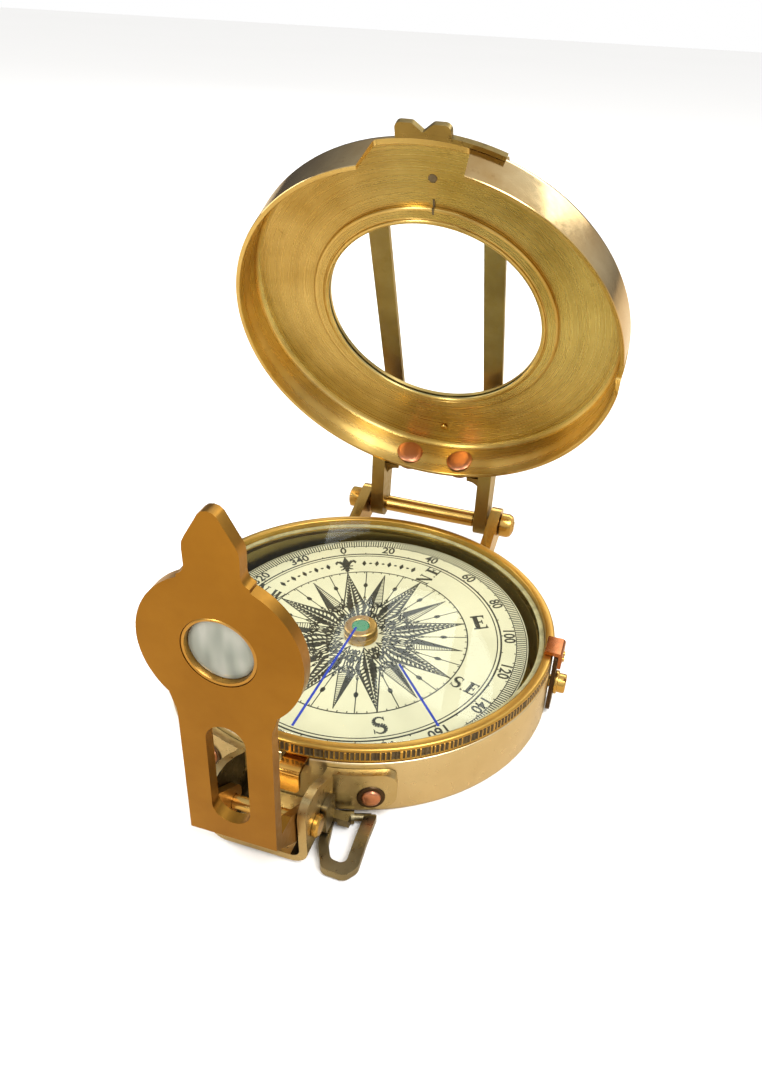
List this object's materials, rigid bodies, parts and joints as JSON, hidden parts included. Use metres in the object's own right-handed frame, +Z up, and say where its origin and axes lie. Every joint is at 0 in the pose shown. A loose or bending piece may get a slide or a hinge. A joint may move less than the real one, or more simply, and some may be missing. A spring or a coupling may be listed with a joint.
{
  "type": "sighting compass",
  "caption": "Brass sighting compass: round case with a floating card under a turning glass bezel, a hinged lid with a round window and front sight, and a folding slotted eyepiece.",
  "frame": {"origin": "centre of the case's flat underside", "axes": "+Z up through the dial, +Y towards the lid hinge, -Y towards the eyepiece"},
  "size_m": [0.0814, 0.121, 0.1009],
  "materials": {
    "case_brass": "satin",
    "brass": "satin",
    "lid_brass": "satin",
    "eyepiece_brass": "satin",
    "copper": "polished",
    "blackened": "matt",
    "gasket": "matt",
    "steel": "satin",
    "clear_glass": "clear",
    "card_ivory": "painted, printed",
    "green_jewel": "opaque",
    "ruby_jewel": "polished"
  },
  "bodies": {
    "case": {"case_body": "case_brass", "chamber_liner": "blackened", "bezel_spring_ring": "steel", "pivot_post": "steel", "lever_fulcrum": "brass", "fulcrum_pin": "steel", "clamp_strip": "blackened", "clamp_hook": "copper", "hook_rivet_lower": "brass", "hook_rivet_upper": "brass", "clamp_screw": "brass", "hinge_bracket": "brass", "hinge_rivet_left": "brass", "hinge_rivet_right": "brass", "hinge_pin": "brass", "hinge_nut_left": "brass", "hinge_nut_right": "brass", "front_bracket": "case_brass", "bracket_rivet_left": "copper", "bracket_rivet_right": "copper", "eyepiece_pin": "brass", "loop_hanger": "blackened"},
    "bezel": {"bezel_ring": "brass", "bezel_glass": "clear_glass", "glass_gasket": "gasket"},
    "lifter": {"card_lifter": "brass"},
    "card": {"compass_card": "card_ivory", "card_cap": "brass", "cap_jewel": "green_jewel", "jewel_cup": "ruby_jewel", "magnet_left": "steel", "magnet_right": "steel"},
    "lever": {"lifter_lever": "case_brass"},
    "eyepiece": {"eyepiece_plate": "eyepiece_brass", "lens_ring": "brass", "eyepiece_lens": "clear_glass"},
    "lid": {"lid_shell": "lid_brass", "window_glass": "clear_glass", "window_ring": "lid_brass", "sight_frame": "lid_brass", "front_sight": "lid_brass", "lid_rivet_left": "copper", "lid_rivet_right": "copper"},
    "loop": {"thumb_loop": "blackened"}
  },
  "joints": [
    {"name": "lid_hinge", "type": "hinge", "parent": "case", "child": "lid", "pos_m": [0, 0.0524, 0.0095], "axis": [1, 0, 0], "range_deg": [-84, 66.1]},
    {"name": "bezel_turn", "type": "hinge", "parent": "case", "child": "bezel", "pos_m": [0, 0, 0.013], "axis": [0, 0, 1], "continuous": true},
    {"name": "eyepiece_fold", "type": "hinge", "parent": "case", "child": "eyepiece", "pos_m": [0, -0.0465, 0.0068], "axis": [1, 0, 0], "range_deg": [-90, 0]},
    {"name": "lever_rock", "type": "hinge", "parent": "case", "child": "lever", "pos_m": [0.00155, -0.029, 0.0032], "axis": [1, 0, 0], "range_deg": [0, 1]},
    {"name": "card_lift", "type": "slide", "parent": "case", "child": "lifter", "axis": [0, 0, 1], "range_m": [0, 0.00051]},
    {"name": "card_spin", "type": "hinge", "parent": "lifter", "child": "card", "pos_m": [0, 0, 0.00857], "axis": [-0.035, -0.075, 0.9966], "continuous": true},
    {"name": "loop_swing", "type": "hinge", "parent": "case", "child": "loop", "pos_m": [0.01195, -0.0384, 0.0012], "axis": [0.9407, 0.3393, 0], "range_deg": [0, 95]}
  ],
  "couplings": [
    {"joint": "lever_rock", "follows": "eyepiece_fold", "ratio": -0.010978},
    {"joint": "card_lift", "follows": "eyepiece_fold", "m_per_rad": -0.000318}
  ]
}
